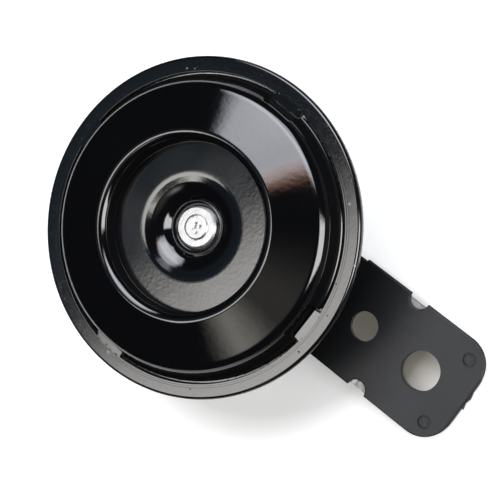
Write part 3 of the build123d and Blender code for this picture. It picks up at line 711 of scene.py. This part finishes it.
class HORN_OT_crimped_rim(bpy.types.Operator):
    """Rolled ring: its section turned about the axis, reaching inwards at the four tabs

    The section rises slightly inwards from a fold at its lip, and more so in the tabs, and
    the front and back of its end are quarter rounds. A tab's end is straight across: its
    radius is divided by the cosine of the angle from the tab's middle.
    """
    bl_idname = "horn.crimped_rim"
    bl_label = "Crimped rim"

    def execute(self, context):
        size = sizes()
        top = RIM_TOP
        corner = 0.15 * MM
        between_tabs, last_rows = 400, 16
        face_rise, tab_rise = math.tan(math.radians(2)), math.tan(math.radians(2.5))
        lip = size.rim_radius - size.lip_width + corner
        fold = lip + 0.25 * MM
        middle = lip - 0.35 * MM
        end = lip - 1.45 * MM
        lift = (fold - middle) * face_rise
        surface = [
            (size.rim_radius - 2.4 * MM, RIM_LOW.z),
            (size.rim_radius - 0.5 * MM, RIM_LOW.z),
            (size.rim_radius, top - 1.1 * MM),
            (size.rim_radius, top),
            (fold, top),
            (middle, top + lift),
            (end, top + lift + (middle - end) * tab_rise),
        ]
        outer_bends = [bend * MM for bend in (0.3, 0.5, 0.7, 0.3, 1.5)]
        inner_bends = [0.1 * MM] * len(outer_bends)
        outer = rounded_line(surface, outer_bends)
        inner = rounded_line(offset_line(surface, size.sheet), inner_bends, HIDDEN_STEP)
        half_angle = math.asin(size.tab_width / 2 / fold)
        angles, offset, inside = ring_angles(size.tab_turn, half_angle, between_tabs)
        turn = np.linspace(0.0, math.pi / 2, END_STEPS)[1:, None]
        rows = []
        for line, side in ((outer, -1), (inner, 1)):
            own = shares_of(line)
            flat_end = self.share_at(line, fold + 0.3 * MM)
            stop = np.where(inside, 1.0, self.share_at(line, lip))
            kept = own[own < flat_end]
            fixed = np.broadcast_to(kept[:, None], (len(kept), len(angles)))
            last = flat_end + np.linspace(0.0, 1.0, last_rows)[:, None] * (stop - flat_end)[None, :]
            points = along(line, np.concatenate([fixed, last]))
            straight = np.where((points[..., 0] < lip) & inside[None, :], 1 / np.cos(offset)[None, :], 1.0)
            points = np.stack([points[..., 0] * straight, points[..., 1]], axis=-1)
            rounding = np.stack([-corner * np.sin(turn), side * corner * (1 - np.cos(turn))], axis=-1)
            rows.append(np.concatenate([points, points[-1] + rounding])[::-side])
        loop = np.concatenate(rows)
        mesh = grid_mesh("rim_ring", turned_points(loop[..., 0], loop[..., 1], angles[None, :]))
        piece = finish_piece(
            "rim_ring", mesh, "horn_body", material("rim_black_paint"))
        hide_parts("crimp_ring")
        return {"FINISHED"}

    def share_at(self, line, radius):
        """Share of the section's length where its face comes inside this radius."""
        return length_where(line, lambda p: (p[:, 0] < radius) & (p[:, 1] > RIM_TOP - 1.0 * MM))


class HORN_OT_stud_thread(bpy.types.Operator):
    """Stud and pole core: radius falls and rises once a pitch along a helix on the tail

    The groove's depth follows a triangle wave of height / pitch - turn, with its crests and
    roots cut flat. It deepens over the lead-in at the stud's end and runs out under the
    bracket.
    """
    bl_idname = "horn.stud_thread"
    bl_label = "Stud thread"

    def execute(self, context):
        pitch = sizes().thread_pitch
        stud = STUD_RADIUS
        core = 7.0 * MM
        chamfer = 0.3 * MM
        depth = 0.6 * MM
        steps_round, steps_per_pitch = 96, 16
        lead_in_length, run_out_length = 0.9 * MM, 1.2 * MM
        core_base = LEAF_HIGH.z + 0.8 * MM
        turns = np.linspace(0, 2 * math.pi, steps_round + 1)[:-1]
        tail = np.arange(STUD_LOW.z, LEAF_LOW.z - 0.05 * MM, pitch / steps_per_pitch)
        phase = tail[:, None] / pitch - turns[None, :] / (2 * math.pi)
        groove = np.abs(phase % 1.0 - 0.5) * 2
        crest = np.clip(1.25 * groove - 0.1, 0.0, 1.0)
        lead_in = np.clip((tail - STUD_LOW.z) / lead_in_length, 0.0, 1.0)[:, None]
        run_out = np.clip((LEAF_LOW.z - tail) / run_out_length, 0.0, 1.0)[:, None]
        radius = stud - depth * np.clip(crest, 1 - lead_in, 1.0) * run_out
        threaded = turned_points(radius, tail[:, None], turns[None, :])
        below = ((POLE, STUD_LOW.z), (stud - depth - 0.2 * MM, STUD_LOW.z))
        above = (
            (stud, LEAF_LOW.z), (stud, core_base), (core, core_base),
            (core, STUD_HIGH.z - chamfer), (core - chamfer, STUD_HIGH.z), (POLE, STUD_HIGH.z),
        )
        foot, head = (
            np.array([turned_points(np.full(len(turns), reach), height, turns) for reach, height in steps])
            for steps in (below, above))
        mesh = grid_mesh("threaded_core", np.concatenate([foot, threaded, head]), closed_u=False)
        piece = finish_piece("threaded_core", mesh, "horn_body", material("core_iron"))
        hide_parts("pole_core")
        return {"FINISHED"}


# Dents in the peened end, as (turn, reach from the axis, size, depth), lengths in millimetres.
PEEN_DENTS = (
    (0.9, 0.85, 0.3, 0.09), (2.2, 0.75, 0.28, 0.1), (3.4, 0.3, 0.35, 0.1), (5.3, 1.0, 0.3, 0.07),
)


class HORN_OT_rivet_head(bpy.types.Operator):
    """Washer and peened stem: a height over radius and angle, with dents from the peening

    The stem's end is a smooth step up inside its radius, with a fine groove round it as a
    bell curve over the radius, and each dent is a bell curve over the distance to it.
    """
    bl_idname = "horn.rivet_head"
    bl_label = "Rivet head"

    def execute(self, context):
        bevel = 0.4 * MM
        stem, stem_edge, stem_rise = 2.45 * MM, 0.07 * MM, 0.26 * MM
        gap, gap_width, gap_depth = 2.6 * MM, 0.08 * MM, 0.05 * MM
        rings, steps_round = 60, 160
        turns = np.linspace(0, 2 * math.pi, steps_round + 1)[:-1]
        outer = (WASHER_HIGH.x - WASHER_LOW.x) / 2
        low, high = WASHER_LOW.z, WASHER_HIGH.z
        radii = np.concatenate([[outer, outer], np.linspace(outer - bevel, POLE, rings)])[:, None]
        heights = np.concatenate([[low, high - bevel], np.full(rings, high)])[:, None]
        ring = np.arange(len(radii))[:, None]
        peened = stem_rise / (1 + np.exp((radii - stem) / stem_edge))
        groove = gap_depth * np.exp(-((radii - gap) / gap_width) ** 2)
        heights = heights + np.where(ring > 1, peened, 0.0) - np.where(ring > 2, groove, 0.0)
        x = radii * np.cos(turns)
        y = radii * np.sin(turns)
        height = np.broadcast_to(heights, x.shape).copy()
        for turn, reach, size, depth in PEEN_DENTS:
            away = np.hypot(x - reach * MM * math.cos(turn), y - reach * MM * math.sin(turn))
            height -= depth * MM * np.exp(-(away / (size * MM)) ** 2)
        points = np.stack([AXIS_X + x, y, height], axis=-1)
        base = turned_points(np.full(len(turns), POLE), low, turns)[None]
        mesh = grid_mesh("peened_washer", np.concatenate([base, points]), closed_u=False)
        piece = finish_piece("peened_washer", mesh, "resonator", material("peened_zinc"))
        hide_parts("stem_washer")
        return {"FINISHED"}


# ---- stage -------------------------------------------------------------------------
BRACKET_TURN = math.radians(-36.52)         # bracket's direction, seen from the front
CAMERA_YAW = math.radians(-22.366)
CAMERA_PITCH = math.radians(-1.833)
CAMERA_SHIFT = (-0.010940, 0.004663, -0.284143)     # rim's top centre, seen by the camera
FOCAL_PIXELS = 1400.0
PICTURE_PIXELS = 500.0
SENSOR_MM = 36.0


def rotation(axis, angle):
    """Turn by an angle about one of the three axes."""
    return Matrix.Rotation(angle, 3, axis)


def front_to_frame(direction):
    """A direction seen from the front (right, up, out), in the part's frame."""
    return rotation("Z", -BRACKET_TURN) @ Vector(direction)


def paper_finish():
    """White paper, glowing a little to the camera, with painted light and shade: the glow grows away
    from the horn and towards the top, and a painted shadow lies under the bracket's eyes.

    Its reflection in the horn darkens towards the front's right, as painted shade.
    """
    finish = Finish("paper", roughness=0.9)
    finish.shader.inputs["Specular IOR Level"].default_value = 0.0
    # Painted shadow under the bracket's eyes, sandy and dim in colour and glow.
    leaf = finish.axes(finish.place)
    along_leaf = finish.rescale(leaf["X"], 47 * MM, 62 * MM, 1.0, 0.0)
    across_leaf = finish.rescale(finish.math("ABSOLUTE", leaf["Y"]), 8 * MM, 12 * MM, 1.0, 0.0)
    past_rim = finish.rescale(leaf["X"], 20 * MM, 30 * MM)
    shade = finish.product(along_leaf, across_leaf, past_rim)
    path = finish.new("ShaderNodeLightPath").outputs
    # Painted shade in the paper's reflection, darker towards the front's right.
    dim_side = finish.rescale(finish.towards(1.0, 0.0), 0.0, 70 * MM)
    mirrored = finish.product(path["Is Glossy Ray"], dim_side)
    white = finish.mix(mirrored, (0.8, 0.8, 0.8), (0.08, 0.08, 0.08))
    finish.colour(finish.mix(shade, white, (0.17, 0.16, 0.135)))
    glow_colour = finish.mix(shade, (1.0, 1.0, 1.0), (1.0, 0.93, 0.82))
    finish.feed(finish.shader.inputs["Emission Color"], glow_colour)
    # Painted light and shade: the glow to the camera grows away from the horn and towards the top, and is
    # low under the bracket's eyes.
    far = finish.rescale(finish.away(), 40.5 * MM, 47 * MM, 0.31, 0.62)
    upper = finish.rescale(finish.towards(0.0, 1.0), -38 * MM, -15 * MM, 0.31, 0.45)
    lit = finish.product(finish.math("MAXIMUM", far, upper), finish.flipped(shade))
    glow = finish.math("ADD", lit, finish.product(shade, 0.1))
    finish.feed(finish.shader.inputs["Emission Strength"], finish.product(path["Is Camera Ray"], glow))
    return finish.material


class HORN_OT_stage(bpy.types.Operator):
    """Paper floor that the horn lies on, lit surroundings and camera"""
    bl_idname = "horn.stage"
    bl_label = "Stage"

    def execute(self, context):
        self.camera(context)
        self.floor(context)
        self.surroundings(context)
        context.scene.view_settings.view_transform = "Standard"
        return {"FINISHED"}

    def camera(self, context):
        """Camera turned by its yaw and pitch, at its shift from the rim's top centre."""
        turn = rotation("X", CAMERA_PITCH) @ rotation("Y", CAMERA_YAW)
        place = -(turn.transposed() @ Vector(CAMERA_SHIFT))
        origin = Vector((AXIS_X, 0.0, RIM_TOP))
        data = bpy.data.cameras.new("front_camera")
        data.sensor_width = SENSOR_MM
        data.lens = SENSOR_MM * FOCAL_PIXELS / PICTURE_PIXELS
        data.clip_start = 0.01
        camera = bpy.data.objects.new("front_camera", data)
        facing = (turn @ rotation("Z", BRACKET_TURN)).transposed()
        camera.matrix_world = Matrix.Translation(origin + front_to_frame(place)) @ facing.to_4x4()
        context.scene.collection.objects.link(camera)
        context.scene.camera = camera

    def floor(self, context):
        """A flat sheet under the stud's end and the bracket's, tilted to touch both."""
        reach = 1.5
        heel = Vector((AXIS_X + STUD_RADIUS, 0.0, STUD_LOW.z))
        toe = Vector((LEAF_HIGH.x, 0.0, 0.0))
        tilt = math.atan2(toe.z - heel.z, toe.x - heel.x)
        mesh = bpy.data.meshes.new("paper")
        corners = np.array([(-reach, -reach), (reach, -reach), (reach, reach), (-reach, reach)])
        x = corners[:, 0]
        points = np.stack([x * math.cos(tilt), corners[:, 1], x * math.sin(tilt)], axis=1) + np.array(heel)
        mesh.from_pydata(points.tolist(), [], [(0, 1, 2, 3)])
        paper = bpy.data.objects.new("paper", mesh)
        context.scene.collection.objects.link(paper)
        mesh.materials.append(paper_finish())

    def surroundings(self, context):
        """World light: a dim room with soft-edged light panels, placed by direction."""
        world = bpy.data.worlds.new("room")
        context.scene.world = world
        world.use_nodes = True
        room = Room(world.node_tree)
        for panel in PANELS:
            room.panel(*panel)
        room.close()


# Panels of light: centre, half size and turn on the flat map of directions that Room
# makes, width of the soft edge, colour and strength.
PANELS = (
    ("ceiling", (-0.173, -0.050), (0.120, 0.064), 30.4, 0.018, (1.0, 0.97, 0.93), 3.7),
    ("ceiling_core", (-0.161, -0.071), (0.120, 0.050), 30.4, 0.020, (1.0, 0.98, 0.95), 0.8),
    ("ceiling_spill", (-0.085, -0.250), (0.045, 0.055), 20.0, 0.060, (1.0, 0.97, 0.88), 1.6),
    ("ceiling_glow", (0.010, -0.160), (0.100, 0.080), 20.0, 0.080, (1.0, 0.95, 0.85), 0.25),
    ("window", (0.076, 0.330), (0.199, 0.180), 0.0, 0.030, (0.90, 0.92, 1.0), 3.8),
    ("window_core", (0.070, 0.310), (0.160, 0.080), -40.0, 0.060, (0.95, 1.0, 1.0), 2.4),
    ("wood_edge", (0.070, 0.145), (0.060, 0.020), -10.0, 0.020, (0.9, 0.45, 0.28), 1.6),
    ("low_side", (0.540, -0.100), (0.220, 0.150), 0.0, 0.040, (1.0, 1.0, 1.0), 6.0),
    ("blue_room", (-0.280, 0.050), (0.140, 0.140), 0.0, 0.120, (0.5, 0.75, 1.0), 0.14),
)
ROOM_STRENGTH = 0.015


class Room(Nodes):
    """World nodes of a dim room with panels of light.

    A direction (right, up, out from the horn's front) is put on a flat map at
    (right, up) / (1 + out), and each panel is a soft-edged rectangle on that map.
    """

    def __init__(self, tree):
        super().__init__(tree)
        shortest = 0.05
        coords = self.new("ShaderNodeTexCoord")
        turn = self.new("ShaderNodeVectorRotate", rotation_type="Z_AXIS")
        turn.inputs["Angle"].default_value = BRACKET_TURN
        self.feed(turn.inputs["Vector"], coords.outputs["Generated"])
        parts = self.axes(turn.outputs["Vector"])
        depth = self.math("MAXIMUM", self.math("ADD", parts["Z"], 1.0), shortest)
        join = self.new("ShaderNodeCombineXYZ")
        self.feed(join.inputs["X"], self.math("DIVIDE", parts["X"], depth))
        self.feed(join.inputs["Y"], self.math("DIVIDE", parts["Y"], depth))
        self.flat = join.outputs["Vector"]
        start = self.new("ShaderNodeRGB")
        start.outputs[0].default_value = (ROOM_STRENGTH, ROOM_STRENGTH, ROOM_STRENGTH, 1.0)
        self.total = start.outputs[0]

    def inside(self, across, half, edge):
        """1 within the half size, falling smoothly to 0 over the edge's width."""
        node = self.new("ShaderNodeMapRange", interpolation_type="SMOOTHSTEP")
        node.inputs["From Min"].default_value = half + edge
        node.inputs["From Max"].default_value = half - edge
        self.feed(node.inputs["Value"], self.math("ABSOLUTE", across))
        return node.outputs["Result"]

    def panel(self, name, centre, half, turn, edge, colour, strength):
        """Add one panel's light to the room's."""
        place = self.new("ShaderNodeMapping", label=name, vector_type="TEXTURE")
        place.inputs["Location"].default_value = (*centre, 0.0)
        place.inputs["Rotation"].default_value = (0.0, 0.0, math.radians(turn))
        self.feed(place.inputs["Vector"], self.flat)
        parts = self.axes(place.outputs["Vector"])
        share = self.product(
            self.inside(parts["X"], half[0], edge), self.inside(parts["Y"], half[1], edge))
        glow = self.new("ShaderNodeVectorMath", operation="MULTIPLY_ADD")
        glow.inputs[0].default_value = dimmed(colour, strength)
        self.feed(glow.inputs[1], share)
        self.feed(glow.inputs[2], self.total)
        self.total = glow.outputs["Vector"]

    def close(self):
        """The room's light for every ray but the camera's own, which sees white."""
        background = self.tree.nodes["Background"]
        self.feed(background.inputs["Color"], self.total)
        white = self.new("ShaderNodeBackground")
        white.inputs["Color"].default_value = (1.0, 1.0, 1.0, 1.0)
        path = self.new("ShaderNodeLightPath")
        mix = self.new("ShaderNodeMixShader")
        self.feed(mix.inputs["Fac"], path.outputs["Is Camera Ray"])
        self.feed(mix.inputs[1], background.outputs["Background"])
        self.feed(mix.inputs[2], white.outputs["Background"])
        self.feed(self.tree.nodes["World Output"].inputs["Surface"], mix.outputs["Shader"])


class HORN_PT_panel(bpy.types.Panel):
    """The horn's pieces, in the 3D view's sidebar"""
    bl_label = "Disc horn"
    bl_idname = "HORN_PT_panel"
    bl_space_type = "VIEW_3D"
    bl_region_type = "UI"
    bl_category = "Horn"

    def draw(self, context):
        for group in (context.scene.horn_sizes, context.scene.horn_colours):
            for name in group.__annotations__:
                self.layout.prop(group, name)
        for operator in OPERATORS:
            self.layout.operator(operator.bl_idname)


GROUPS = (HornSizes, HornColours)
OPERATORS = (
    HORN_OT_paint_cad,
    HORN_OT_tone_disc,
    HORN_OT_crimped_rim,
    HORN_OT_stud_thread,
    HORN_OT_rivet_head,
    HORN_OT_stage,
)


def register():
    """Register the classes and hang the sizes and colours on the scene."""
    for cls in GROUPS + OPERATORS + (HORN_PT_panel,):
        bpy.utils.register_class(cls)
    bpy.types.Scene.horn_sizes = bpy.props.PointerProperty(type=HornSizes)
    bpy.types.Scene.horn_colours = bpy.props.PointerProperty(type=HornColours)


def unregister():
    """Undo what register did."""
    del bpy.types.Scene.horn_colours
    del bpy.types.Scene.horn_sizes
    for cls in reversed(GROUPS + OPERATORS + (HORN_PT_panel,)):
        bpy.utils.unregister_class(cls)


def main():
    """Dress the horn and set the stage."""
    register()
    bpy.ops.horn.paint_cad()
    bpy.ops.horn.tone_disc()
    bpy.ops.horn.crimped_rim()
    bpy.ops.horn.stud_thread()
    bpy.ops.horn.rivet_head()
    bpy.ops.horn.stage()


if __name__ == "__main__":
    main()
